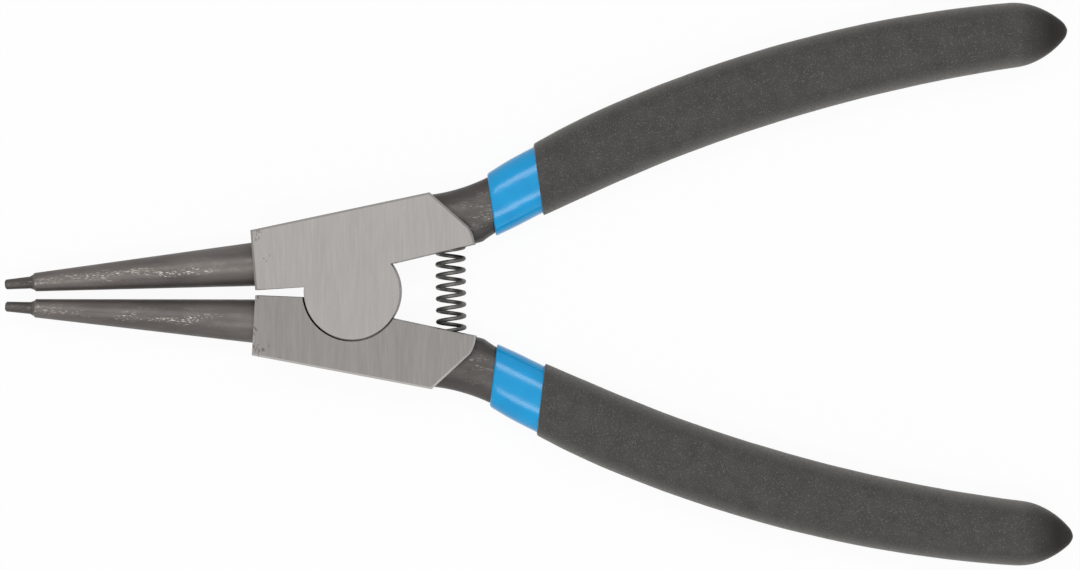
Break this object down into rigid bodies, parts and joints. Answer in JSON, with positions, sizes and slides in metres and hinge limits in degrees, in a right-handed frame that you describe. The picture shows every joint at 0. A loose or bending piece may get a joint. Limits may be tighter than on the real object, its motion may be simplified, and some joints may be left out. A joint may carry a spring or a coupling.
{
  "type": "external circlip pliers",
  "caption": "External circlip pliers: forged halves lapped on a flush rivet, straight round tips, a coil return spring between the halves and dipped two-coat handles.",
  "frame": {"origin": "on the rivet's axis, on the back face of the lapped joint", "axes": "+X along the tool from the tips towards the handles, +Y across it to the upper half, +Z out of the front face"},
  "size_m": [0.18, 0.095, 0.011],
  "materials": {
    "steel": "joint faces ground bright, jaws and necks dark oxide",
    "spring_wire": "dark oiled spring wire",
    "undercoat": "glossy dipped vinyl",
    "grip": "matt foamed vinyl with a fine grain"
  },
  "bodies": {
    "lower_half": {"lower_lever": "steel", "lower_undercoat": "undercoat", "lower_grip": "grip", "return_spring": "spring_wire"},
    "upper_half": {"upper_lever": "steel", "upper_undercoat": "undercoat", "upper_grip": "grip", "pivot_rivet": "steel"}
  },
  "joints": [
    {"name": "squeeze", "type": "hinge", "parent": "lower_half", "child": "upper_half", "pos_m": [0, 0, 0.0055], "axis": [0, 0, -1], "range_deg": [-1.25, 26], "stiffness_Nm_per_rad": 0.4, "deforming": ["return_spring"]}
  ]
}
